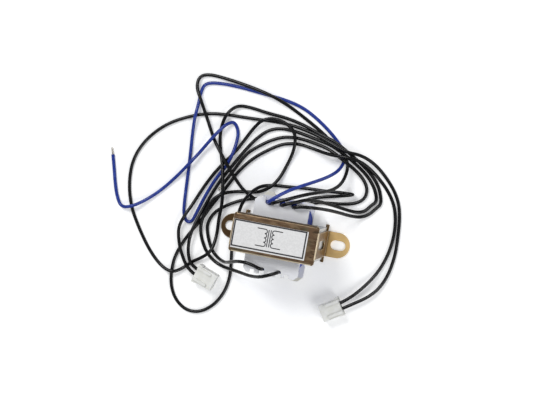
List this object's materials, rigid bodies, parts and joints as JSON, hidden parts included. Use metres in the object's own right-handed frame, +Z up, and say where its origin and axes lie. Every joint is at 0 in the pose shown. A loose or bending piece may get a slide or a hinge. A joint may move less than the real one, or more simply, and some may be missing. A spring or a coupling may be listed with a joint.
{
  "type": "chassis-mount mains transformer",
  "caption": "Small mains transformer: laminated core and bobbin held in a folded steel bracket with slotted feet, and loose flying leads ending in crimp housings or bare ends.",
  "frame": {"origin": "middle of the feet's underside, under the middle of the core", "axes": "+X along the line of the two foot slots, +Y towards the side with three lead slots, +Z up from the feet to the label"},
  "size_m": [0.132, 0.1045, 0.0312],
  "materials": {
    "core_steel": "rolled silicon steel sheet edges, thin varnish",
    "bracket_zinc": "yellow-passivated zinc plate, satin",
    "bobbin_nylon": "translucent moulded nylon",
    "winding_copper": "enamelled copper wire",
    "barrier_film": "clear yellow polyester film",
    "blue_tape": "polyester tape",
    "label_paper": "matt paper with a printed border",
    "plug_nylon": "moulded nylon",
    "contact_tin": "tinned phosphor bronze",
    "blue_insulation": "satin vinyl",
    "black_insulation": "satin vinyl",
    "tinned_strand": "tinned copper strands"
  },
  "bodies": {
    "root": {"e_laminations": "core_steel", "i_laminations": "core_steel", "mounting_bracket": "bracket_zinc", "bobbin": "bobbin_nylon", "primary_winding": "winding_copper", "barrier_tape": "barrier_film", "secondary_winding_a": "winding_copper", "secondary_winding_b": "winding_copper", "outer_tape": "blue_tape", "rating_label": "label_paper", "left_plug_housing": "plug_nylon", "right_plug_housing": "plug_nylon", "left_plug_contacts": "contact_tin", "right_plug_contacts": "contact_tin", "mains_lead_blue": "blue_insulation", "mains_lead_black": "black_insulation", "left_lead_a": "black_insulation", "left_lead_b": "black_insulation", "right_lead_a": "black_insulation", "right_lead_b": "black_insulation", "blue_lead_tip": "tinned_strand", "black_lead_tip": "tinned_strand"}
  },
  "joints": []
}
